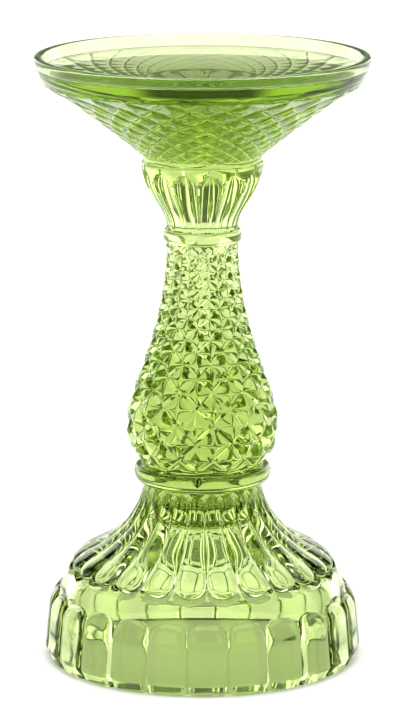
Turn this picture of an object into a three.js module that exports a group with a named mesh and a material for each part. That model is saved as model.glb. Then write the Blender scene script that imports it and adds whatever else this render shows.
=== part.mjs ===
// Footed dish in green pressed glass, the kind that carries a pillar candle.
//
// Seven pieces of glass stand on each other along the Z axis, joined hot:
// a hollow ribbed foot, a rounded flange, a bulb-shaped stem cut with diamonds,
// a small collar, a fluted neck, a thin wafer and the flat dish.
// Units are millimetres, +Z is up, and the origin is the centre of the base.

import * as THREE from 'three';
import { mergeVertices } from 'three/addons/utils/BufferGeometryUtils.js';

// ---- Sizes ----------------------------------------------------------------

const bondGap = 0.3;            // clearance between two pieces that are joined

// Foot: a hollow bell with an arched skirt below and gadroon ribs above.
const footHeight = 73.6;
const footRadius = 65.2;
const edgeBevel = 3;            // the skirt turns in to the ring that it stands on
const standRingWidth = 6;
const bandHeight = 6;           // plain band under the arched panels
const skirtLean = 1.5;          // the panels lean in from the band to the arches
const panelTop = 29;            // crown of the arches
const archRise = 6.5;           // from the springing of an arch to its crown
const panelStep = 1.2;          // how far a panel stands out of the bell
const panelScallop = 0.9;       // depth of the hollow line between two panels
const shoulderInset = 10;       // from the widest line of the foot in to the ribs' ends
const shoulderRise = 8;         // from the arches up to the ribs' ends
const flankInset = 7;           // from the ribs' ends in to where they turn up to the throat
const flankRise = 8;
const ribRelief = 0.45;         // valley depth as a share of half a rib's width
const ribStart = 5;             // length over which a valley deepens above a rib's end
const ribFade = 4;              // length over which a rib dies out under the flange
const ribCount = 24;
const throatRadius = 24.6;      // top of the foot
const footWall = 7;
const crownThickness = 16.6;    // solid glass over the hollow of the foot

// Flange: the rounded disc between the foot and the stem.
const flangeHeight = 7.6;
const flangeOverhang = 3.6;     // how far it stands out over the throat of the foot

// Stem: a long bulb, cut all over with four-sided points.
const stemHeight = 92;
const stemInset = 4.6;          // from the flange's edge in to the stem's foot
const stemBelly = 7.9;          // how far the bulb swells past the stem's foot
const stemBellyRise = 16.5;     // height of the widest line above the stem's foot
const stemTopRadius = 14.6;
const stemDiamondStart = 1.9;   // plain edge under the first row of points
const stemDiamonds = 12;        // points in one ring
const stemDiamondRows = 19;     // half rows, from the foot to the top
const stemCut = 0.28;           // groove depth as a share of half a diamond's width

// Collar: the small rounded ring under the neck.
const collarHeight = 5.2;
const collarProud = 1.5;        // how far it stands out of the stem and neck

// Neck: a waisted piece with hollow flutes that end in round arches.
const neckHeight = 27.3;
const neckTopRadius = 25;
const neckTopBand = 3;          // plain band over the flutes
const fluteCount = 14;
const fluteDepth = 2.2;         // at the top; a flute grows shallower down the waist

// Wafer: the thin disc of glass that holds the dish to the neck.
const waferHeight = 2.2;
const waferInset = 0.7;

// Dish: a flat recessed floor, a plain rim band and a diamond-cut underside.
const coneHeight = 29.5;
const rimHeight = 10.8;
const rimRadius = 68.2;
const rimFlare = 4;             // how far the rim band stands out over the cone
const lipWidth = 3.9;
const lipRound = 0.9;
const wellDepth = 4.4;
const dishDiamonds = 24;        // points in one ring
const dishDiamondRows = 11;     // half rows, from the neck to the rim band
const dishCut = 0.28;

// All the patterns share one seam: the first ribs, panels and diamonds start from it.
const seamAngle = THREE.MathUtils.degToRad(-5.6);
const fluteAngle = THREE.MathUtils.degToRad(7.9);
const roundColumns = 48;        // sides of the plain round pieces

// ---- Sizes of pieces that fit each other --------------------------------------

const standRadius = footRadius - edgeBevel;
const panelRadius = footRadius - skirtLean;
const panelSpring = panelTop - archRise;
const shoulderRadius = footRadius - shoulderInset;
const shoulderHeight = panelTop + shoulderRise;
const flankRadius = shoulderRadius - flankInset;
const flankHeight = shoulderHeight + flankRise;
const cavityHeight = footHeight - crownThickness;
const flangeRadius = throatRadius + flangeOverhang;
const stemFootRadius = flangeRadius - stemInset;
const stemBellyRadius = stemFootRadius + stemBelly;
const collarRadius = stemTopRadius + collarProud;
const neckFootRadius = stemTopRadius;
const waferRadius = neckTopRadius - waferInset;
const coneFootRadius = waferRadius;
const coneTopRadius = rimRadius - rimFlare;

// Heights of the joints.
const flangeBase = footHeight + bondGap;
const stemBase = flangeBase + flangeHeight + bondGap;
const collarBase = stemBase + stemHeight + bondGap;
const neckBase = collarBase + collarHeight + bondGap;
const waferBase = neckBase + neckHeight + bondGap;
const dishBase = waferBase + waferHeight + bondGap;
const rimBase = dishBase + coneHeight;
const rimTop = rimBase + rimHeight;
const floorHeight = rimTop - wellDepth;

// ---- Finish -----------------------------------------------------------------

function greenGlass(colour) {
  return new THREE.MeshStandardMaterial({ color: colour, roughness: 0.05, metalness: 0 });
}

// ---- Shaping tools ------------------------------------------------------------

// A point of an outline: distance from the axis, then height.
function at(radius, height) {
  return new THREE.Vector2(radius, height);
}

// Points along a curve of an outline, without its first point.
function along(curve, steps) {
  return curve.getPoints(steps).slice(1);
}

function bend(start, control, end, steps) {
  return along(new THREE.QuadraticBezierCurve(start, control, end), steps);
}

function sweep(start, controlA, controlB, end, steps) {
  return along(new THREE.CubicBezierCurve(start, controlA, controlB, end), steps);
}

// How far an angle lies from the middle of its repeat, from -1 to 1.
function acrossRepeat(angle, firstMiddle, count) {
  const pitch = (2 * Math.PI) / count;
  const turns = (angle - firstMiddle) / pitch;
  return 2 * (turns - Math.round(turns));
}

function smoothStep(edge0, edge1, value) {
  return THREE.MathUtils.smoothstep(value, edge0, edge1);
}

// Turns an outline about the Z axis. From firstCarved on, carve(angle, radius, height) gives
// each point's new radius; angles are measured from the front, -Y, towards +X.
function turned(outline, columns, firstAngle, carve = null, firstCarved = 0) {
  const lathe = new THREE.LatheGeometry(outline, columns, firstAngle);
  lathe.rotateX(Math.PI / 2);
  const position = lathe.attributes.position;
  for (let i = 0; carve && i < position.count; i += 1) {
    const x = position.getX(i);
    const y = position.getY(i);
    const radius = Math.hypot(x, y);
    if (i % outline.length >= firstCarved && radius > 0) {
      const scale = carve(Math.atan2(x, -y), radius, position.getZ(i)) / radius;
      position.setXY(i, x * scale, y * scale);
    }
  }
  return welded(lathe);
}

function welded(geometry) {
  geometry.deleteAttribute('normal');
  geometry.deleteAttribute('uv');
  return mergeVertices(geometry, 1e-4);
}

// Splits a curve into rows that are each turned by the same share of a circle, so that a
// diamond keeps its proportions while the piece grows wider or narrower.
function diamondRows(curve, rowCount) {
  const fineSteps = 600;
  const length = curve.getLength();
  const turns = [0];
  for (let k = 1; k <= fineSteps; k += 1) {
    const radius = curve.getPointAt(k / fineSteps).x;
    turns.push(turns[k - 1] + length / fineSteps / radius);
  }
  const rows = [];
  for (let row = 0; row <= rowCount; row += 1) {
    const wanted = (turns[fineSteps] * row) / rowCount;
    const k = turns.findIndex((turn) => turn >= wanted - 1e-9);
    rows.push(curve.getPointAt(k / fineSteps));
  }
  return rows;
}

// A turned piece whose middle rows are cut into four-sided points. before and after are
// the plain parts of its outline; the corners of the points are sunk by the groove depth.
function diamondCut(before, rows, after, count, cut) {
  const outline = [...before, ...rows, ...after];
  const columns = 2 * count;
  const lathe = new THREE.LatheGeometry(outline, columns, seamAngle);
  lathe.rotateX(Math.PI / 2);
  const position = lathe.attributes.position;
  const height = outline.length;
  const isCorner = (column, row) => (column + row) % 2 === 0;
  for (let column = 0; column <= columns; column += 1) {
    for (let row = 1; row < rows.length - 1; row += 1) {
      if (isCorner(column, row)) {
        const i = column * height + before.length + row;
        const halfWidth = (rows[row].x * Math.PI) / count;
        const scale = 1 - (cut * halfWidth) / rows[row].x;
        position.setXY(i, position.getX(i) * scale, position.getY(i) * scale);
      }
    }
  }
  lathe.setIndex(grooveFaces(columns, height, before.length, rows.length, isCorner));
  return welded(lathe);
}

// The triangles of a turned piece, with each edge inside the cut rows laid from
// groove corner to groove corner, so that every side of a point is flat.
function grooveFaces(columns, height, firstRow, rowCount, isCorner) {
  const faces = [];
  for (let column = 0; column < columns; column += 1) {
    for (let j = 0; j < height - 1; j += 1) {
      const a = column * height + j;
      const b = a + height;
      const c = b + 1;
      const d = a + 1;
      const row = j - firstRow;
      const isCut = row >= 0 && row < rowCount - 1;
      if (isCut && isCorner(column, row)) {
        faces.push(a, b, c, a, c, d);
      } else {
        faces.push(a, b, d, c, d, b);
      }
    }
  }
  return faces;
}

function piece(name, geometry, colour) {
  const mesh = new THREE.Mesh(geometry, greenGlass(colour));
  mesh.name = name;
  return mesh;
}

// ---- Foot -------------------------------------------------------------------

// The hollow under the foot follows the bell one wall thickness inside it.
function footCavity() {
  const mouth = at(standRadius - standRingWidth, 0);
  const spring = at(mouth.x, panelSpring / 2);
  const haunch = at(shoulderRadius - 0.9 * footWall, shoulderHeight - 0.5 * footWall);
  const flank = at(flankRadius - 0.7 * footWall, flankHeight - 0.6 * footWall);
  const corner = at(throatRadius - footWall, cavityHeight - 2);
  const crown = at(0, cavityHeight);
  return [
    crown,
    ...bend(crown, at(corner.x, crown.y), corner, 2),
    ...sweep(corner, at(corner.x + 3, crown.y - 8), at(flank.x - 9, flank.y + 5), flank, 3),
    ...sweep(flank, at(flank.x + 3, flank.y - 1.6), at(haunch.x - 0.3, haunch.y + 4), haunch, 2),
    ...sweep(haunch, at(haunch.x + 2.4, haunch.y - 4), at(mouth.x, panelSpring), spring, 3),
    mouth,
  ];
}

// The outside of the foot, over the crests of the panels and ribs.
function footOutside() {
  const edge = at(standRadius, 0);
  const bandLow = at(footRadius, bandHeight / 2);
  const bandTop = at(footRadius, bandHeight);
  const spring = at(panelRadius, panelSpring);
  const crown = at(panelRadius - panelStep * 2.4, panelTop);
  const ledge = at(crown.x - panelStep, panelTop + panelStep);
  const shoulder = at(shoulderRadius, shoulderHeight);
  const flank = at(flankRadius, flankHeight);
  const throat = at(throatRadius, footHeight);
  const run = flankRadius - throatRadius;
  const flare = footHeight - flankHeight;
  return [
    ...bend(edge, at(footRadius, 0), bandLow, 2),
    bandTop,
    ...along(new THREE.LineCurve(bandTop, spring), 2),
    ...bend(spring, at(panelRadius - panelStep / 2, (panelSpring + panelTop) / 2), crown, 5),
    ledge,
    ...bend(ledge, at(shoulderRadius + panelStep, shoulderHeight - 2), shoulder, 2),
    ...sweep(
      shoulder,
      at(shoulderRadius - 0.6, shoulderHeight + 0.4 * flankRise),
      at(flankRadius + 0.6 * flankInset, flankHeight - 0.26 * flankRise),
      flank, 3),
    ...sweep(
      flank,
      at(flankRadius - 0.55 * run, flankHeight + 0.23 * flare),
      at(throatRadius + 0.05 * run, flankHeight + 0.52 * flare),
      throat, 7),
  ];
}

function carveFoot(angle, radius, height) {
  const acrossPanel = acrossRepeat(angle, seamAngle + Math.PI / ribCount, ribCount);
  const acrossRib = acrossRepeat(angle, seamAngle, ribCount);
  const archRise = Math.max(0, (height - panelSpring) / (panelTop - panelSpring));
  let carved = radius;
  if (height < panelTop + panelStep / 2) {
    const archHalfWidth = Math.sqrt(Math.max(0, 1 - archRise ** 2));
    const outsideArch = smoothStep(archHalfWidth - 0.25, archHalfWidth + 0.1, Math.abs(acrossPanel));
    carved -= panelScallop * acrossPanel ** 2 + panelStep * outsideArch * smoothStep(0, 1, archRise * 4);
  }
  if (height > shoulderHeight) {
    const isRib = smoothStep(shoulderHeight, shoulderHeight + ribStart, height);
    const fade = 1 - smoothStep(footHeight - ribFade, footHeight, height);
    const depth = ribRelief * radius * Math.PI / ribCount;
    carved -= depth * isRib * fade * acrossRib ** 2;
  }
  return carved;
}

function foot() {
  const cavity = footCavity();
  const columnsPerRib = 4;
  const outline = [...cavity, at(standRadius, 0), ...footOutside(), at(0, footHeight)];
  const bell = turned(outline, columnsPerRib * ribCount, seamAngle, carveFoot, cavity.length);
  return piece('foot', bell, '#9fc25a');
}

// ---- Flange -------------------------------------------------------------------

function flange() {
  const bottom = flangeBase;
  const top = flangeBase + flangeHeight;
  const widest = bottom + 0.6 * flangeHeight;
  const outline = [
    at(0, bottom),
    at(throatRadius, bottom),
    ...bend(at(throatRadius, bottom), at(flangeRadius, bottom + 1), at(flangeRadius, widest), 4),
    ...bend(at(flangeRadius, widest), at(flangeRadius, top), at(stemFootRadius + 1.6, top - 0.4), 4),
    at(stemFootRadius, top),
    at(0, top),
  ];
  return piece('flange', turned(outline, roundColumns, seamAngle), '#a6c85f');
}

// ---- Stem -----------------------------------------------------------------------

function stemSide() {
  const belly = at(stemBellyRadius, stemBase + stemBellyRise);
  const start = at(stemFootRadius + stemDiamondStart, stemBase + stemDiamondStart);
  const top = at(stemTopRadius, stemBase + stemHeight);
  const rise = top.y - belly.y;
  const side = new THREE.CurvePath();
  side.add(new THREE.CubicBezierCurve(
    start,
    at(stemBellyRadius - 0.6, start.y + 0.28 * stemBellyRise),
    at(stemBellyRadius, belly.y - 0.35 * stemBellyRise),
    belly));
  side.add(new THREE.CubicBezierCurve(
    belly,
    at(stemBellyRadius, belly.y + 0.21 * rise),
    at(stemTopRadius + 1.2, top.y - 0.55 * rise),
    top));
  return side;
}

function stem() {
  const before = [at(0, stemBase), at(stemFootRadius, stemBase)];
  const after = [at(0, stemBase + stemHeight)];
  const rows = diamondRows(stemSide(), stemDiamondRows);
  return piece('stem', diamondCut(before, rows, after, stemDiamonds, stemCut), '#b4d06e');
}

// ---- Collar and neck ----------------------------------------------------------------

function collar() {
  const bottom = collarBase;
  const top = collarBase + collarHeight;
  const middle = (bottom + top) / 2;
  const outline = [
    at(0, bottom),
    at(stemTopRadius, bottom),
    ...bend(at(stemTopRadius, bottom), at(collarRadius, bottom), at(collarRadius, middle), 3),
    ...bend(at(collarRadius, middle), at(collarRadius, top), at(neckFootRadius, top), 3),
    at(0, top),
  ];
  return piece('collar', turned(outline, roundColumns, fluteAngle), '#8fb548');
}

function neckSide() {
  const low = at(neckFootRadius, neckBase);
  const high = at(neckTopRadius, neckBase + neckHeight - neckTopBand / 2);
  return sweep(
    low,
    at(neckFootRadius, neckBase + 0.35 * neckHeight),
    at(neckTopRadius - 1, neckBase + 0.5 * neckHeight),
    high, 8);
}

function carveNeck(angle, radius, height) {
  const across = acrossRepeat(angle, fluteAngle, fluteCount);
  const archTop = neckBase + neckHeight - neckTopBand;
  const archSpring = archTop - neckTopRadius * Math.PI / fluteCount;
  const archRise = Math.max(0, (height - archSpring) / (archTop - archSpring));
  const halfWidth = 0.85 * Math.sqrt(Math.max(0, 1 - archRise ** 2));
  if (halfWidth === 0 || Math.abs(across) >= halfWidth || height <= neckBase) {
    return radius;
  }
  const share = (radius / neckTopRadius) ** 2;
  return radius - fluteDepth * share * (1 - (across / halfWidth) ** 2);
}

function neck() {
  const top = neckBase + neckHeight;
  const outline = [
    at(0, neckBase),
    at(neckFootRadius, neckBase),
    ...neckSide(),
    at(waferRadius, top),
    at(0, top),
  ];
  const columnsPerFlute = 4;
  return piece('neck', turned(outline, columnsPerFlute * fluteCount, fluteAngle, carveNeck), '#bcd67c');
}

// ---- Wafer ----------------------------------------------------------------------------

function wafer() {
  const top = waferBase + waferHeight;
  const middle = (waferBase + top) / 2;
  const edge = waferRadius - waferHeight / 4;
  const outline = [
    at(0, waferBase),
    at(edge, waferBase),
    at(waferRadius, middle),
    at(edge, top),
    at(0, top),
  ];
  return piece('wafer', turned(outline, roundColumns, seamAngle), '#c9dd93');
}

// ---- Dish -----------------------------------------------------------------------------

function coneSide() {
  const low = at(coneFootRadius, dishBase);
  const high = at(coneTopRadius, rimBase);
  const run = coneTopRadius - coneFootRadius;
  return new THREE.CubicBezierCurve(
    low,
    at(low.x + 0.38 * run, low.y + 0.4 * coneHeight),
    at(high.x - 0.38 * run, high.y - 0.33 * coneHeight),
    high);
}

function dish() {
  const before = [at(0, dishBase)];
  const rows = diamondRows(coneSide(), dishDiamondRows);
  const rimOuter = at(rimRadius, rimTop - lipRound);
  const lipInner = at(rimRadius - lipWidth, rimTop);
  const floorEdge = at(lipInner.x - 1, floorHeight);
  const after = [
    ...bend(at(coneTopRadius, rimBase), at(rimRadius - 1, rimBase + rimHeight / 3), rimOuter, 3),
    at(rimRadius - lipRound, rimTop),
    lipInner,
    floorEdge,
    at(0, floorHeight),
  ];
  return piece('dish', diamondCut(before, rows, after, dishDiamonds, dishCut), '#aecb66');
}

// ---- The whole object -----------------------------------------------------------------

const footedDish = new THREE.Group();
footedDish.name = 'footed_dish';
footedDish.add(foot(), flange(), stem(), collar(), neck(), wafer(), dish());

export default footedDish;
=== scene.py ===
# %% [markdown]
# # A footed dish in green pressed glass
#
# The stand is seven pieces of clear yellow-green glass joined hot, one above the other: a
# hollow ribbed foot, a rounded flange, a diamond-cut stem, a small collar, a fluted neck, a
# thin wafer and the dish. Every outline is a curve turned about one axis, so each piece could
# be made with a lathe or the Spin tool; Geometry Nodes are used here because the cuts follow
# rules that a node tree can hold as sizes.
#
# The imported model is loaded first. It gives each piece its place and its outer size.

# %% Load the frame
import math

import bpy
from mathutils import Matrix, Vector


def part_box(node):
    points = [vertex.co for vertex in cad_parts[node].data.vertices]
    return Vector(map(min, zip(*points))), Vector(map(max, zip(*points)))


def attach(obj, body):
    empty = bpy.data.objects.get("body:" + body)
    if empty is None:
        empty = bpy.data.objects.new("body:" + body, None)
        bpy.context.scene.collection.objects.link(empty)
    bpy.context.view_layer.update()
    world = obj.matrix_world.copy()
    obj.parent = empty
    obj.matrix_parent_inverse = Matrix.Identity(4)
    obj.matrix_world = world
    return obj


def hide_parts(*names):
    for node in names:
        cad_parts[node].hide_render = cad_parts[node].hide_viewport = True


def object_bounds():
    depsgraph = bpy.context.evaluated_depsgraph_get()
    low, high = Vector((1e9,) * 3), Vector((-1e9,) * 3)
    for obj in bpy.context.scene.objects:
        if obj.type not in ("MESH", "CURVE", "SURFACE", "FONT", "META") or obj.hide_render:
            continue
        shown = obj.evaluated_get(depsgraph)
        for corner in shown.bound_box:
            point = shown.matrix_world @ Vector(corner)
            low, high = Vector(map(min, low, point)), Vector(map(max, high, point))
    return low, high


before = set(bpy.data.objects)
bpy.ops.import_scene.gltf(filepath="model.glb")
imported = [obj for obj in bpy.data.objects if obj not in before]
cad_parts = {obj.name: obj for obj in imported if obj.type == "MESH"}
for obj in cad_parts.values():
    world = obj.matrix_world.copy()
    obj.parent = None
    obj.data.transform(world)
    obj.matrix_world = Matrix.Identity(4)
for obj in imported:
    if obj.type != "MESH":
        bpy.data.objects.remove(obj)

cad_low, cad_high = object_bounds()
mm = 0.001
print("object box in mm:", [round(v / mm, 1) for v in (*cad_low, *cad_high)])

# %% [markdown]
# ## The joints between the pieces
#
# Hot glass fuses, so no air is left between two pieces. In the model they stay separate
# solids that stop a hair's breadth from each other. The height of a joint is halfway between
# the boxes of the two pieces, and each piece is drawn up to it.

# %% Heights of the joints
hair = 0.01 * mm
order = ["foot", "flange", "stem", "collar", "neck", "wafer", "dish"]


def low(node):
    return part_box(node)[0].z


def high(node):
    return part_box(node)[1].z


def reach(node):
    """The largest distance of a piece from the axis."""
    return max(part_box(node)[1].x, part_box(node)[1].y)


bottom, top = {"foot": low("foot")}, {"dish": high("dish")}
for under, over in zip(order, order[1:]):
    joint = (high(under) + low(over)) / 2
    top[under] = joint - hair
    bottom[over] = joint + hair
print("joints in mm:", [round(top[name] / mm, 2) for name in order])

# %% [markdown]
# ## A class for node sums
#
# A Geometry Nodes field and a shader value are both sockets, and both are added and
# multiplied by the same Math node. `Wire` wraps a socket so that the sum can be written as
# an expression, and `Bench` holds the tree and adds every other node.

# %% Wire and Bench
class Wire:
    """One output socket of a tree, ready for sums."""

    def __init__(self, bench, socket):
        self.bench = bench
        self.socket = socket

    def math(self, operation, *others):
        values = dict(enumerate((self, *others)))
        return self.bench.add("ShaderNodeMath", {"operation": operation}, values)

    def reflected(self, operation, first):
        return self.bench.add("ShaderNodeMath", {"operation": operation}, {0: first, 1: self})

    def __add__(self, other):
        return self.math("ADD", other)

    def __mul__(self, other):
        return self.math("MULTIPLY", other)

    def __sub__(self, other):
        return self.math("SUBTRACT", other)

    def __rsub__(self, other):
        return self.reflected("SUBTRACT", other)

    def __truediv__(self, other):
        return self.math("DIVIDE", other)

    def __rtruediv__(self, other):
        return self.reflected("DIVIDE", other)

    def __pow__(self, other):
        return self.math("POWER", other)

    __radd__ = __add__
    __rmul__ = __mul__


class Bench:
    """A node tree under work."""

    def __init__(self, tree):
        self.tree = tree

    def add(self, kind, settings=None, inputs=None, output=0):
        node = self.tree.nodes.new(kind)
        for name, value in (settings or {}).items():
            setattr(node, name, value)
        for name, value in (inputs or {}).items():
            if isinstance(value, Wire):
                self.tree.links.new(value.socket, node.inputs[name])
            else:
                node.inputs[name].default_value = value
        return Wire(self, node.outputs[output])

    def more(self, wire, output):
        """Another output of the node that a wire comes from."""
        return Wire(self, wire.socket.node.outputs[output])

    def vector(self, x, y, z):
        return self.add("ShaderNodeCombineXYZ", None, {0: x, 1: y, 2: z})

    def split(self, vector):
        first = self.add("ShaderNodeSeparateXYZ", None, {0: vector})
        return first, self.more(first, 1), self.more(first, 2)

    def scaled(self, vector, factor):
        return self.add("ShaderNodeVectorMath", {"operation": "SCALE"}, {0: vector, "Scale": factor})

    def total(self, first, *others):
        for other in others:
            first = self.add("ShaderNodeVectorMath", {"operation": "ADD"}, {0: first, 1: other})
        return first


# %% [markdown]
# ## Outlines
#
# A turner draws half of the section. An outline is a list of points, distance from the axis
# and height, that runs from the axis at the bottom out and up and back to the axis at the
# top, so the faces of the turned skin look outwards. Round stretches are Bezier curves.

# %% Drawing an outline
def at(radius, height):
    return Vector((radius, height))


def straight(start, end, steps=1):
    return [start.lerp(end, k / steps) for k in range(1, steps + 1)]


def bend(start, control, end, steps):
    """A curve that leaves start towards control and arrives from it."""
    return sweep(start, start.lerp(control, 2 / 3), end.lerp(control, 2 / 3), end, steps)


def sweep(start, handle_a, handle_b, end, steps):
    points = []
    for k in range(1, steps + 1):
        t = k / steps
        s = 1 - t
        points.append(
            start * s**3 + handle_a * 3 * s * s * t + handle_b * 3 * s * t * t + end * t**3
        )
    return points


def radius_at(outline, height):
    """The radius of a rising outline at a height."""
    for a, b in zip(outline, outline[1:]):
        if a.y <= height <= b.y:
            return a.lerp(b, (height - a.y) / max(b.y - a.y, 1e-9)).x
    return outline[0].x if height < outline[0].y else outline[-1].x


# %% [markdown]
# ## The turning tree
#
# The tree lays a flat sheet of faces, one column for each step round the piece and one row
# for each point of the outline, and bends it round the axis. Because a cut is worked out for
# each vertex before the sheet is bent, the same tree makes plain, fluted and diamond-cut
# pieces: only the carving changes. The outline comes in as the object's own mesh, a chain of
# points whose attributes say which rows are cut and which belong to a joint.

# %% The tree that turns an outline
class Turning:
    """What a carving may use: the sheet's sizes, and the outline at each vertex."""

    def __init__(self, bench, sizes):
        self.bench = bench
        self.sizes = sizes
        self.outline = sizes["Outline"]
        place = bench.add("GeometryNodeInputPosition")
        x, y, _ = bench.split(place)
        count = bench.add("GeometryNodeAttributeDomainSize", None, {"Geometry": self.outline})
        self.rows = count
        self.columns = sizes["Columns"]
        self.column = (x + self.columns * 0.5).math("ROUND")
        self.line = (y + (self.rows - 1) * 0.5).math("ROUND")
        self.turn = 2 * math.pi / self.columns
        self.angle = self.column * self.turn + sizes["First angle"]
        self.radius, self.height = self.section(self.line)

    def attribute(self, name, index):
        value = self.bench.add("GeometryNodeInputNamedAttribute", None, {"Name": name})
        inputs = {"Geometry": self.outline, "Value": value, "Index": index}
        return self.bench.add("GeometryNodeSampleIndex", {"clamp": True}, inputs)

    def section(self, index):
        place = self.bench.add("GeometryNodeInputPosition")
        inputs = {"Geometry": self.outline, "Value": place, "Index": index}
        settings = {"data_type": "FLOAT_VECTOR", "clamp": True}
        x, _, z = self.bench.split(self.bench.add("GeometryNodeSampleIndex", settings, inputs))
        return x, z

    def around(self, angle, radius, height):
        """A point of the turned piece; angle 0 is the front, -Y, and +X follows."""
        x = angle.math("SINE") * radius
        y = angle.math("COSINE") * radius * -1
        return self.bench.vector(x, y, height)


def turning_tree(name, sizes, carve):
    tree = bpy.data.node_groups.new(name, "GeometryNodeTree")
    tree.is_modifier = True
    tree.interface.new_socket("Outline", in_out="INPUT", socket_type="NodeSocketGeometry")
    for label, kind in sizes.items():
        tree.interface.new_socket(label, in_out="INPUT", socket_type=kind)
    tree.interface.new_socket("Piece", in_out="OUTPUT", socket_type="NodeSocketGeometry")
    bench = Bench(tree)
    given = tree.nodes.new("NodeGroupInput")
    wires = {s.name: Wire(bench, s) for s in given.outputs if s.name}
    turning = Turning(bench, wires)
    bent = carve(turning)
    inputs = {"Size X": turning.columns, "Size Y": turning.rows - 1,
              "Vertices X": turning.columns + 1, "Vertices Y": turning.rows}
    sheet = bench.add("GeometryNodeMeshGrid", None, inputs)
    sheet = stored(bench, sheet, "joined", "POINT", turning.attribute("joined", turning.line))
    sheet = with_grooves(turning, sheet)
    sheet = bench.add("GeometryNodeSetPosition", None, {"Geometry": sheet, "Position": bent})
    finish_tree(bench, sheet, wires["Glass"])
    return tree


def stored(bench, mesh, name, domain, value):
    inputs = {"Geometry": mesh, "Name": name, "Value": value}
    return bench.add("GeometryNodeStoreNamedAttribute", {"domain": domain}, inputs)


def finish_tree(bench, mesh, glass):
    """Welds the seam and the poles, marks joint faces, shades, and sets the glass."""
    mesh = bench.add("GeometryNodeMergeByDistance", None, {"Geometry": mesh, "Distance": weld})
    joined = bench.add("GeometryNodeInputNamedAttribute", None, {"Name": "joined"})
    mesh = stored(bench, mesh, "joint_face", "FACE", joined.math("GREATER_THAN", 0.99))
    mesh = bench.add("GeometryNodeSetShadeSmooth", None, {"Geometry": mesh, "Shade Smooth": True})
    sharp = bench.add("GeometryNodeInputMeshEdgeAngle").math("GREATER_THAN", sharp_angle)
    inputs = {"Geometry": mesh, "Selection": sharp, "Shade Smooth": False}
    mesh = bench.add("GeometryNodeSetShadeSmooth", {"domain": "EDGE"}, inputs)
    mesh = bench.add("GeometryNodeRealizeInstances", None, {"Geometry": mesh})
    mesh = bench.add("GeometryNodeSetMaterial", None, {"Geometry": mesh, "Material": glass})
    out = bench.tree.nodes.new("NodeGroupOutput")
    bench.tree.links.new(mesh.socket, out.inputs[0])


def with_grooves(turning, sheet):
    """Splits each face of the sheet along the groove that crosses it."""
    bench = turning.bench
    x, y, _ = bench.split(bench.add("GeometryNodeInputPosition"))
    column = ((x + turning.columns * 0.5) / turning.sizes["Fine steps"]).math("FLOOR")
    line = (y + (turning.rows - 1) * 0.5 - turning.sizes["First cut row"])
    row = (line / turning.sizes["Fine steps"]).math("FLOOR")
    odd = (column + row).math("FLOORED_MODULO", 2)
    first = bench.add("GeometryNodeTriangulate", {"quad_method": "FIXED"},
                      {"Mesh": sheet, "Selection": 1 - odd})
    return bench.add("GeometryNodeTriangulate", {"quad_method": "FIXED_ALTERNATE"}, {"Mesh": first})


weld = 0.002 * mm
sharp_angle = math.radians(50)
tree_sizes = {
    "Columns": "NodeSocketInt",
    "First angle": "NodeSocketFloat",
    "Fine steps": "NodeSocketInt",
    "First cut row": "NodeSocketInt",
    "Repeats": "NodeSocketInt",
    "Cut": "NodeSocketFloat",
    "Glass": "NodeSocketMaterial",
}

# %% [markdown]
# ## From outline to piece
#
# The modifier's inputs are set by identifier before the object is evaluated, the result is
# copied to a plain mesh, and the modifier is taken off. What is left is an ordinary mesh
# that rides on the frame.

# %% Making a piece
def chain(name, outline, attributes):
    """A mesh of points only: the outline, with one number for each point per attribute."""
    mesh = bpy.data.meshes.new(name)
    mesh.from_pydata([(p.x, 0, p.y) for p in outline], [], [])
    for label, values in attributes.items():
        layer = mesh.attributes.new(label, "FLOAT", "POINT")
        layer.data.foreach_set("value", values)
    return mesh


def apply_tree(name, mesh, tree, values):
    piece = bpy.data.objects.new(name, mesh)
    bpy.context.scene.collection.objects.link(piece)
    modifier = piece.modifiers.new("turning", "NODES")
    modifier.node_group = tree
    for item in tree.interface.items_tree:
        if item.in_out == "INPUT" and item.name in values:
            modifier[item.identifier] = values[item.name]
    depsgraph = bpy.context.evaluated_depsgraph_get()
    depsgraph.update()
    solid = bpy.data.meshes.new_from_object(piece.evaluated_get(depsgraph))
    piece.modifiers.clear()
    piece.data = solid
    solid.name = name
    return piece


def seat(piece, node):
    """Ties a finished piece to the frame in place of its plain solid."""
    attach(piece, "root")
    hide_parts(node)
    print(f"{node}: {len(piece.data.polygons)} faces")


# %% [markdown]
# ## The glass
#
# Thick glass is coloured by what it swallows: a ray that crosses more glass comes out deeper
# in colour. So part of the colour is a volume absorption that takes blue first, then red, and
# leaves yellow-green. The rest is a tint on the surface, which colours the thin parts as well.
# The reflections are tinted too. Real glass doesn't do that: it is a choice of looks, which
# keeps the dark lines green instead of grey.
#
# The pressed skin isn't quite flat: the plunger leaves a faint ripple, and the roughness
# wanders a little and is greater inside the foot, where the wall is lightly frosted. Faces
# inside a joint are made to vanish, because fused glass has no surface there.

# %% Green glass
def principled(material):
    return material.node_tree.nodes["Principled BSDF"]


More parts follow.
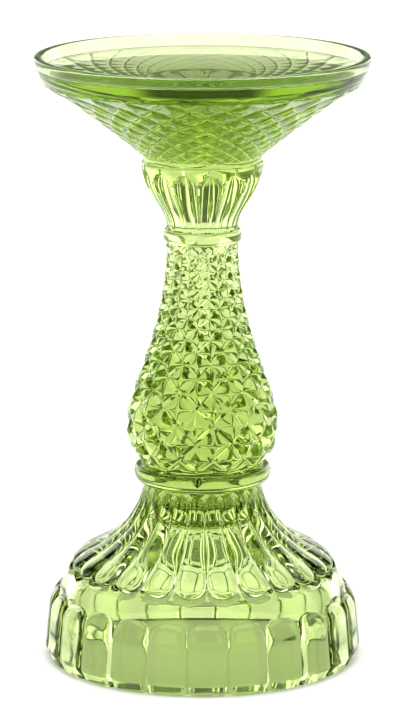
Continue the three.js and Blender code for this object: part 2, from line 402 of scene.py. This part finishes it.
def green_glass():
    material = bpy.data.materials.new("green_glass")
    material.use_nodes = True
    bench = Bench(material.node_tree)
    shader = principled(material)
    shader.inputs["IOR"].default_value = 1.5
    shader.inputs["Specular Tint"].default_value = (*reflected_colour, 1)
    shader.inputs["Transmission Weight"].default_value = 1.0
    place = Wire(bench, material.node_tree.nodes.new("ShaderNodeTexCoord").outputs["Object"])
    ripple = bench.add("ShaderNodeTexNoise", None, {"Vector": place, "Scale": 55.0, "Detail": 2.0})
    haze = bench.add("ShaderNodeTexNoise", None, {"Vector": place, "Scale": 140.0, "Detail": 3.0})
    frost = bench.add("ShaderNodeAttribute", {"attribute_name": "frost"}, output="Fac")
    rough = haze * 0.02 + frost * 0.06
    bump = bench.add("ShaderNodeBump", None,
                     {"Strength": 0.25, "Distance": 0.15 * mm, "Height": ripple})
    joined = bench.add("ShaderNodeAttribute", {"attribute_name": "joint_face"}, output="Fac")
    tint = bench.add("ShaderNodeMix", {"data_type": "RGBA"},
                     {"Factor": ripple, 6: (*pale_tint, 1), 7: (*deep_tint, 1)}, output=2)
    links = material.node_tree.links
    links.new(rough.socket, shader.inputs["Roughness"])
    links.new(bump.socket, shader.inputs["Normal"])
    links.new((1 - joined).socket, shader.inputs["Alpha"])
    links.new(tint.socket, shader.inputs["Base Color"])
    absorb = material.node_tree.nodes.new("ShaderNodeVolumeAbsorption")
    absorb.inputs["Color"].default_value = (*absorbed_colour, 1)
    absorb.inputs["Density"].default_value = absorbed_density
    output = material.node_tree.nodes["Material Output"]
    links.new(absorb.outputs[0], output.inputs["Volume"])
    return material


absorbed_density = 42.0
absorbed_colour = (0.63, 0.73, 0.22)
reflected_colour = (0.55, 0.9, 0.15)
pale_tint, deep_tint = (0.84, 0.92, 0.66), (0.78, 0.88, 0.58)
glass = green_glass()

# %% [markdown]
# ## Cutting the points
#
# The stem and the underside of the dish are covered with four-sided points. They sit on a
# lattice: half a point round the piece, half a point up it. At every other crossing the
# grooves meet, and the glass there is sunk; between them stand the tips. A real cutter's wheel
# leaves flat sides, so a vertex is placed on the flat triangle between three crossings and
# not on the round, and then pushed out a little, as pressed facets come out slightly full.
# The rows follow the radius: a row is as tall as half a point is wide, so
# the points keep their shape while the piece swells.

# %% Rows that follow the radius
def cut_rows(curve, rows, fine):
    """Points of a curve with equal turns between rows, and fine points between them."""
    turns = [0.0]
    for a, b in zip(curve, curve[1:]):
        turns.append(turns[-1] + (b - a).length / ((a.x + b.x) / 2))
    points = []
    k = 0
    for line in range(rows * fine + 1):
        wanted = turns[-1] * line / (rows * fine)
        while k < len(turns) - 2 and turns[k + 1] < wanted:
            k += 1
        share = (wanted - turns[k]) / (turns[k + 1] - turns[k])
        points.append(curve[k].lerp(curve[k + 1], min(max(share, 0), 1)))
    return points


def cut_points(turning):
    """The carving of flat-sided points, for the turning tree."""
    bench, sizes = turning.bench, turning.sizes
    fine = sizes["Fine steps"]
    across = turning.column / fine
    up = turning.attribute("row", turning.line)
    column = across.math("FLOOR")
    row = (up + 0.0001).math("FLOOR").math("MINIMUM", sizes["Last row"] - 1)
    aside, rise = across - column, up - row
    odd = (column + row).math("FLOORED_MODULO", 2)
    aside = odd + aside * (1 - odd * 2)
    corner, tip = column + odd, column + 1 - odd
    half_turn = math.pi / sizes["Repeats"]

    def crossing(at_column, at_row, is_sunk):
        index = at_row * fine + sizes["First cut row"]
        radius, height = turning.section(index)
        if is_sunk:
            radius = radius - turning.attribute("sink", index) * sizes["Cut"]
        return turning.around(at_column * half_turn + sizes["First angle"], radius, height)

    flat = bench.total(
        bench.scaled(crossing(corner, row, True), 1 - aside.math("MAXIMUM", rise)),
        bench.scaled(crossing(tip, row + 1, True), aside.math("MINIMUM", rise)),
        bench.scaled(crossing(tip, row, False), (aside - rise).math("MAXIMUM", 0)),
        bench.scaled(crossing(corner, row + 1, False), (rise - aside).math("MAXIMUM", 0)),
    )
    to_tip = (aside - rise).math("ABSOLUTE")
    swell = to_tip * (1 - to_tip) * turning.radius * half_turn * sizes["Swell"]
    flat = bench.total(flat, turning.around(turning.angle, swell, 0))
    plain = turning.around(turning.angle, turning.radius, turning.height)
    is_cut = turning.attribute("is_cut", turning.line)
    return bench.total(bench.scaled(plain, 1 - is_cut), bench.scaled(flat, is_cut))


cut_sizes = {**tree_sizes, "Last row": "NodeSocketInt", "Swell": "NodeSocketFloat"}
cut_tree = turning_tree("cut_points", cut_sizes, cut_points)


def cut_piece(node, before, curve, after, repeats, rows, fine, cut, joined):
    """A turned piece whose middle stretch is cut into points."""
    cut_part = cut_rows(curve, rows, fine)
    outline = before + cut_part + after
    first = len(before)
    last = first + rows * fine
    is_cut = [1.0 if first <= k <= last else 0.0 for k in range(len(outline))]
    row = [min(max(k - first, 0), rows * fine) / fine for k in range(len(outline))]
    sink = [math.pi * p.x / repeats if 0 < r < rows else 0.0 for p, r in zip(outline, row)]
    mesh = chain(node, outline, {"is_cut": is_cut, "row": row, "sink": sink, "joined": joined(outline)})
    values = {"Columns": 2 * repeats * fine, "First angle": seam, "Fine steps": fine,
              "First cut row": first, "Repeats": repeats, "Cut": cut, "Swell": facet_swell,
              "Last row": rows, "Glass": glass}
    piece = apply_tree(node, mesh, cut_tree, values)
    seat(piece, node)
    return piece


def joined_at(*heights):
    """Marks the points of an outline that lie on a joint."""
    def marks(outline):
        return [1.0 if any(abs(p.y - h) < 1e-7 for h in heights) else 0.0 for p in outline]
    return marks


seam = math.radians(-5.6)
facet_swell = 0.32

# %% [markdown]
# ## The stem
#
# A long bulb that stands on the flange and narrows to the collar, with twelve points in each
# ring and nineteen half rows.

# %% Stem
stem_foot = 23.6 * mm
stem_belly = 31.5 * mm
stem_top = 14.6 * mm
plain_edge = 1.9 * mm


def stem_side():
    base, tip = bottom["stem"], top["stem"]
    start = at(stem_foot + plain_edge, base + plain_edge)
    belly = at(stem_belly, base + 16.5 * mm)
    end = at(stem_top, tip)
    rise = end.y - belly.y
    swell = sweep(start, at(stem_belly - 0.6 * mm, start.y + 4.6 * mm),
                  at(stem_belly, belly.y - 5.8 * mm), belly, 60)
    taper = sweep(belly, at(stem_belly, belly.y + 0.21 * rise),
                  at(stem_top + 1.2 * mm, end.y - 0.55 * rise), end, 200)
    return [start] + swell + taper


base, tip = bottom["stem"], top["stem"]
stem = cut_piece("stem", [at(0, base), at(stem_foot, base)], stem_side(), [at(0, tip)],
                 repeats=12, rows=19, fine=8, cut=0.28, joined=joined_at(base, tip))

# %% [markdown]
# ## The dish
#
# The same cut, twenty-four points round, covers the underside. Above it come a plain rim
# band, a rounded lip and the sunk floor.

# %% Dish
cone_foot = 24.3 * mm
cone_top = reach("dish") - 4 * mm
rim_base = top["dish"] - 10.8 * mm
lip_width = 3.9 * mm
lip_round = 1.1 * mm
well_depth = 4.4 * mm


def cone_side():
    start, end = at(cone_foot, bottom["dish"]), at(cone_top, rim_base)
    run, rise = end.x - start.x, end.y - start.y
    return [start] + sweep(start, start + Vector((0.38 * run, 0.4 * rise)),
                           end - Vector((0.38 * run, 0.33 * rise)), end, 200)


def rim_side():
    edge, lip = reach("dish"), top["dish"]
    outer = at(edge, lip - lip_round)
    inner = at(edge - lip_width, lip)
    floor = lip - well_depth
    wall_foot = at(inner.x - 1 * mm, floor)
    fillet = 0.8 * mm
    return [
        *bend(at(cone_top, rim_base), at(edge - 1 * mm, rim_base + 3.6 * mm), outer, 14),
        *bend(outer, at(edge, lip), at(edge - lip_round, lip), 5),
        *straight(at(edge - lip_round, lip), inner + Vector((lip_round, 0)), 2),
        *bend(inner + Vector((lip_round, 0)), inner, inner - Vector((0.17, 1)) * lip_round, 5),
        *straight(inner - Vector((0.17, 1)) * lip_round, wall_foot + Vector((0.17, 1)) * fillet, 3),
        *bend(wall_foot + Vector((0.17, 1)) * fillet, wall_foot, wall_foot - Vector((fillet, 0)), 4),
        *straight(wall_foot - Vector((fillet, 0)), at(0.5 * mm, floor), 10),
        at(0, floor),
    ]


dish = cut_piece("dish", [at(0, bottom["dish"])], cone_side(), rim_side(),
                 repeats=24, rows=11, fine=8, cut=0.28, joined=joined_at(bottom["dish"]))

# %% [markdown]
# ## The plain round pieces
#
# The flange, the collar and the wafer are turned without any cut, so their carving only
# bends the sheet.

# %% Flange, collar and wafer
def plain(turning):
    return turning.around(turning.angle, turning.radius, turning.height)


plain_tree = turning_tree("plain_turning", tree_sizes, plain)


def plain_piece(node, outline, columns, tree=plain_tree, **more):
    marks = joined_at(bottom[node], top[node])(outline)
    values = {"Columns": columns, "First angle": seam, "Fine steps": 1, "First cut row": 0,
              "Glass": glass, **more}
    piece = apply_tree(node, chain(node, outline, {"joined": marks}), tree, values)
    seat(piece, node)
    return piece


def flange_outline():
    base, tip = bottom["flange"], top["flange"]
    edge = reach("flange")
    throat = 24.6 * mm
    widest = base + 0.6 * (tip - base)
    return [
        at(0, base), at(throat, base),
        *bend(at(throat, base), at(edge, base + 1 * mm), at(edge, widest), 14),
        *bend(at(edge, widest), at(edge, tip), at(stem_foot + 1.6 * mm, tip - 0.4 * mm), 14),
        at(stem_foot, tip), at(0, tip),
    ]


def collar_outline():
    base, tip = bottom["collar"], top["collar"]
    edge = reach("collar")
    middle = (base + tip) / 2
    return [
        at(0, base), at(stem_top, base),
        *bend(at(stem_top, base), at(edge, base), at(edge, middle), 10),
        *bend(at(edge, middle), at(edge, tip), at(stem_top, tip), 10),
        at(0, tip),
    ]


def wafer_outline():
    base, tip = bottom["wafer"], top["wafer"]
    edge = reach("wafer")
    inner = edge - 0.5 * mm
    middle = (base + tip) / 2
    return [
        at(0, base), at(inner, base),
        *bend(at(inner, base), at(edge, base), at(edge, middle), 6),
        *bend(at(edge, middle), at(edge, tip), at(inner, tip), 6),
        at(0, tip),
    ]


flange = plain_piece("flange", flange_outline(), 192)
collar = plain_piece("collar", collar_outline(), 144)
wafer = plain_piece("wafer", wafer_outline(), 192)

# %% [markdown]
# ## The fluted neck
#
# Hollow flutes run up the neck and end in round arches under its top edge. A flute is a
# scoop: deepest along its middle, and gone at its sides.

# %% Neck
flute_count = 14
flute_angle = math.radians(7.9)
flute_depth = 2.2 * mm
flute_share = 0.86
neck_top_radius = reach("neck")
neck_band = 2.6 * mm


def repeat_position(turning, first, count):
    """How far a vertex lies from the middle of its repeat, from -1 to 1."""
    turns = (turning.angle - first) * (count / (2 * math.pi))
    return (turns - turns.math("ROUND")) * 2


def flutes(turning):
    arch_top = top["neck"] - neck_band
    arch_height = 6 * mm
    across = repeat_position(turning, flute_angle, flute_count).math("ABSOLUTE")
    rise = ((turning.height - (arch_top - arch_height)) / arch_height).math("MAXIMUM", 0)
    width = ((1 - rise * rise).math("MAXIMUM", 0.0001)).math("SQRT") * flute_share
    scoop = (1 - (across / width) ** 2).math("MAXIMUM", 0)
    is_side = turning.attribute("is_cut", turning.line)
    depth = scoop.math("SQRT") * turning.radius**2 * (flute_depth / neck_top_radius**2) * is_side
    return turning.around(turning.angle, turning.radius - depth, turning.height)


flute_tree = turning_tree("flutes", tree_sizes, flutes)


def neck_outline():
    base, tip = bottom["neck"], top["neck"]
    rise = tip - base
    low_edge = at(stem_top, base)
    high_edge = at(neck_top_radius, tip - 1.5 * mm)
    inner = at(neck_top_radius - 0.7 * mm, tip)
    side = sweep(low_edge, at(stem_top, base + 0.35 * rise),
                 at(neck_top_radius - 1 * mm, base + 0.5 * rise), high_edge, 90)
    edge = bend(high_edge, at(neck_top_radius, tip), inner, 5)
    return [at(0, base), low_edge, *side, *edge, at(0, tip)]


outline = neck_outline()
marks = joined_at(bottom["neck"], top["neck"])(outline)
is_side = [0.0 if mark else 1.0 for mark in marks]
values = {"Columns": flute_count * 20, "First angle": flute_angle, "Fine steps": 1,
          "First cut row": 0, "Glass": glass}
mesh = chain("neck", outline, {"joined": marks, "is_cut": is_side})
neck = apply_tree("neck", mesh, flute_tree, values)
seat(neck, "neck")

# %% [markdown]
# ## The foot
#
# The foot repeats every fifteen degrees: an arched panel on the skirt, and above it two half
# ribs that meet in a valley. So one sector is drawn, with its rows of faces laid
# along the arch and along the round end of the rib so that both edges stay crisp, and a tree
# sets twenty-four copies round the axis and welds them. A panel is a nearly flat face that
# rounds over into a step at its arch and into a narrow groove at each side.

# %% One sector of the foot
rib_count = 24
foot_edge = reach("foot")
band_height = 5 * mm
arch_spring, arch_crown = 22.5 * mm, 29 * mm
arch_power = 2.6
arch_step = 2 * mm
arch_round = 3.4 * mm
scallop = 1.7 * mm
scallop_power = 8
rib_end, rib_cap = 37 * mm, 5 * mm
rib_share = 0.5
rib_notch = 3 * mm
rib_fade = 4 * mm
foot_wall = 7 * mm
throat = 24.4 * mm
sector_columns = 16


def bell_side():
    """The outline of the foot over the crests of its ribs."""
    spring = at(foot_edge - 3 * mm, arch_spring - 1 * mm)
    shoulder = at(foot_edge - 10 * mm, 37 * mm)
    flank = at(foot_edge - 17 * mm, 45 * mm)
    end = at(throat, top["foot"])
    return [
        spring,
        *sweep(spring, at(spring.x - 1.6 * mm, 26 * mm),
               at(shoulder.x + 1.8 * mm, 33.4 * mm), shoulder, 16),
        *sweep(shoulder, at(shoulder.x - 0.6 * mm, 40.3 * mm),
               at(flank.x + 4.2 * mm, 42.9 * mm), flank, 16),
        *sweep(flank, at(flank.x - 13 * mm, 51.6 * mm), at(end.x + 1.2 * mm, 60 * mm), end, 50),
    ]


bell = bell_side()
spring_height = bell[0].y


def panel_radius(u, height):
    """The face of a panel: it leans in a little, and rounds over at its sides and arch."""
    lean = 1.6 * mm * (height - band_height) / (arch_spring - band_height)
    face = foot_edge - lean
    if height > spring_height:
        face = min(face, radius_at(bell, height) + arch_step)
    over = 1 - min(1, (arch_height(u) - height) / arch_round)
    return face - scallop * abs(u) ** scallop_power - arch_step * (1 - math.sqrt(1 - over**2))


def arch_height(u):
    return arch_spring + (arch_crown - arch_spring) * max(0, 1 - abs(u) ** arch_power) ** (1 / arch_power)


def rib_edge_height(u):
    """The lower edge of the ribs; u is 0 in the valley and 1 or -1 on a crest."""
    across = 1 - abs(u)
    return rib_end + rib_cap * (1 - math.sqrt(max(0, 1 - across**2)))


def ease(value):
    value = min(1, max(0, value))
    return value * value * (3 - 2 * value)


def valley_depth(height):
    """How far the valley between two ribs lies under their crests."""
    full = rib_share * math.pi * radius_at(bell, height) / rib_count
    depth = rib_notch + (full - rib_notch) * ease((height - rib_end) / (12 * mm))
    return depth * ease((top["foot"] - height) / rib_fade)


def rib_radius(u, height):
    across = 1 - abs(u)
    into_cap = max(0, (rib_end + rib_cap - height) / rib_cap)
    round_part = math.sqrt(max(0, 1 - across**2 - into_cap**2))
    return radius_at(bell, height) - valley_depth(height) * (1 - round_part)


def cavity_rows():
    mouth = at(foot_edge - 9 * mm, 0)
    spring = at(mouth.x, 12 * mm)
    haunch = at(foot_edge - 16.4 * mm, 33.6 * mm)
    flank = at(haunch.x - 5.6 * mm, 40.8 * mm)
    crown = at(0, top["foot"] - 16.6 * mm)
    corner = at(throat - foot_wall, crown.y - 2 * mm)
    return [
        crown,
        *bend(crown, at(corner.x, crown.y), corner, 12),
        *sweep(corner, at(corner.x + 3 * mm, 49 * mm), at(flank.x - 9 * mm, 45.6 * mm), flank, 12),
        *sweep(flank, at(flank.x + 2.8 * mm, 39.2 * mm), at(haunch.x - 0.3 * mm, 37.4 * mm), haunch, 8),
        *sweep(haunch, at(haunch.x + 2.4 * mm, 29.4 * mm), at(mouth.x, 22 * mm), spring, 12),
        *straight(spring, mouth, 3),
    ]


def skirt_u(t):
    return math.sin(t * math.pi / 2)


def rib_u(t):
    return math.copysign(1 - math.cos(t * math.pi / 2), t)


def sector_rows():
    """Rows of (u, radius, height) for one sector, from the hollow round to the top."""
    steps = [2 * k / sector_columns - 1 for k in range(sector_columns + 1)]
    rows = [[(skirt_u(t), p.x, p.y) for t in steps] for p in cavity_rows()]
    stand = at(foot_edge - 2.9 * mm, 0)
    edge = [stand, *bend(stand, at(stand.x + 0.5 * mm, 0), at(stand.x + 0.7 * mm, 0.7 * mm), 3),
            *straight(at(stand.x + 0.7 * mm, 0.7 * mm), at(foot_edge, band_height), 5)]
    for p in edge:
        rows.append([(skirt_u(t), p.x - scallop * abs(skirt_u(t)) ** scallop_power, p.y) for t in steps])
    for share in [k / 12 for k in range(1, 12)] + [1 - (1 - k / 8) ** 2 / 12 for k in range(1, 9)]:
        row = []
        for t in steps:
            u = skirt_u(t)
            height = band_height + (arch_height(u) - band_height) * share
            row.append((u, panel_radius(u, height), height))
        rows.append(row)
    for k in range(21):
        row = []
        for t in steps:
            s = k / 20
            u = skirt_u(t) * (1 - s) + rib_u(t) * s
            edge_low, edge_high = arch_height(u) + 0.15 * mm, rib_edge_height(u)
            height = edge_low + (edge_high - edge_low) * s
            groove = max(0, 1 - (edge_high - height) / (1.5 * mm)) ** 2
            row.append((u, radius_at(bell, height) - valley_depth(edge_high) * groove, height))
        rows.append(row)
    for k in range(1, 71):
        s = (k / 70) ** 1.6
        row = []
        for t in steps:
            u = rib_u(t)
            start = rib_edge_height(u)
            height = start + (top["foot"] - start) * s
            row.append((u, rib_radius(u, height), height))
        rows.append(row)
    rows.append([(rib_u(t), 0, top["foot"]) for t in steps])
    return rows


def sector_mesh():
    half = math.pi / rib_count
    middle = seam + half
    rows = sector_rows()
    points = []
    for row in rows:
        for u, radius, height in row:
            angle = middle + u * half
            points.append((radius * math.sin(angle), -radius * math.cos(angle), height))
    width = sector_columns + 1
    faces = []
    for r in range(len(rows) - 1):
        for c in range(sector_columns):
            a = r * width + c
            faces.append((a, a + 1, a + 1 + width, a + width))
    mesh = bpy.data.meshes.new("foot")
    mesh.from_pydata(points, [], faces)
    layer = mesh.attributes.new("joined", "FLOAT", "POINT")
    layer.data.foreach_set("value", [1.0 if abs(p[2] - top["foot"]) < 1e-7 else 0.0 for p in points])
    inside = len(cavity_rows()) * width
    frost = mesh.attributes.new("frost", "FLOAT", "POINT")
    frost.data.foreach_set("value", [float(k < inside and p[2] < arch_crown) for k, p in enumerate(points)])
    return mesh


# %% The tree that repeats a sector round the axis
def ring_tree():
    tree = bpy.data.node_groups.new("ring_of_sectors", "GeometryNodeTree")
    tree.is_modifier = True
    for label, kind in (("Sector", "NodeSocketGeometry"), ("Repeats", "NodeSocketInt"),
                        ("Glass", "NodeSocketMaterial")):
        tree.interface.new_socket(label, in_out="INPUT", socket_type=kind)
    tree.interface.new_socket("Piece", in_out="OUTPUT", socket_type="NodeSocketGeometry")
    bench = Bench(tree)
    given = tree.nodes.new("NodeGroupInput")
    sector, repeats, material = (Wire(bench, socket) for socket in given.outputs[:3])
    spots = bench.add("GeometryNodePoints", None, {"Count": repeats, "Position": (0, 0, 0)})
    index = bench.add("GeometryNodeInputIndex")
    turn = bench.vector(0, 0, index * (2 * math.pi / repeats))
    ring = bench.add("GeometryNodeInstanceOnPoints", None,
                     {"Points": spots, "Instance": sector, "Rotation": turn})
    ring = bench.add("GeometryNodeRealizeInstances", None, {"Geometry": ring})
    finish_tree(bench, ring, material)
    return tree


foot = apply_tree("foot", sector_mesh(), ring_tree(), {"Repeats": rib_count, "Glass": glass})
seat(foot, "foot")

# %% [markdown]
# ## The studio
#
# Glass shows what surrounds it. Six bright soft panels stand round the stand with dark gaps
# between them, so that every edge and every cut gets its dark line. A low white band runs along
# the horizon and a soft light hangs overhead. The floor is a wide pale disc.

# %% Floor and sky
def pale_floor():
    mesh = bpy.data.meshes.new("floor")
    steps = 96
    radius = 8.0
    ring = [(radius * math.cos(2 * math.pi * k / steps), radius * math.sin(2 * math.pi * k / steps), 0)
            for k in range(steps)]
    mesh.from_pydata(ring, [], [tuple(range(steps))])
    floor = bpy.data.objects.new("floor", mesh)
    bpy.context.scene.collection.objects.link(floor)
    material = bpy.data.materials.new("pale_floor")
    material.use_nodes = True
    principled(material).inputs["Base Color"].default_value = (0.93, 0.93, 0.93, 1)
    principled(material).inputs["Roughness"].default_value = 0.9
    mesh.materials.append(material)
    return floor


def sky():
    world = bpy.data.worlds.new("studio")
    bpy.context.scene.world = world
    world.use_nodes = True
    bench = Bench(world.node_tree)
    direction = Wire(bench, world.node_tree.nodes.new("ShaderNodeTexCoord").outputs["Generated"])
    x, y, z = bench.split(direction)

    def ramp(value, low, high, start, end):
        inputs = {"Value": value, "From Min": low, "From Max": high, "To Min": start, "To Max": end}
        return bench.add("ShaderNodeMapRange", {"interpolation_type": "SMOOTHSTEP"}, inputs)

    azimuth = y.math("ARCTAN2", x)
    horizon = ramp(z, 0.08, 0.16, horizon_light, 0.0)
    strips = ramp((azimuth * strip_count).math("COSINE"), -0.45, 0.45, between_light, strip_light)
    strips = strips * ramp(z, 0.60, 0.70, 1.0, 0.0)
    top_light = ramp(z, 0.82, 0.90, 0.0, overhead_light)
    light = horizon.math("MAXIMUM", strips) + top_light + room_light
    background = world.node_tree.nodes["Background"]
    world.node_tree.links.new(light.socket, background.inputs["Strength"])
    background.inputs["Color"].default_value = (1, 1, 1, 1)


room_light, horizon_light, overhead_light = 0.04, 1.35, 3.6
strip_light, between_light, strip_count = 2.7, 0.12, 6
floor = pale_floor()
sky()

# %% [markdown]
# ## The camera
#
# A long lens from a little above, so that the dish shows its floor as a narrow oval.

# %% Camera
def camera():
    data = bpy.data.cameras.new("camera")
    data.lens = 198.4
    data.clip_end = 50
    eye = bpy.data.objects.new("camera", data)
    bpy.context.scene.collection.objects.link(eye)
    pitch = math.radians(12.4)
    distance = 1.633
    aim = Vector((-0.001, 0, 0.494 * cad_high.z))
    eye.location = aim + distance * Vector((0, -math.cos(pitch), math.sin(pitch)))
    eye.rotation_euler = (math.pi / 2 - pitch, 0, 0)
    bpy.context.scene.camera = eye


camera()
scene = bpy.context.scene
scene.view_settings.view_transform = "Standard"
scene.cycles.max_bounces = 32
scene.cycles.transmission_bounces = 32
scene.cycles.transparent_max_bounces = 32
scene.cycles.caustics_refractive = True
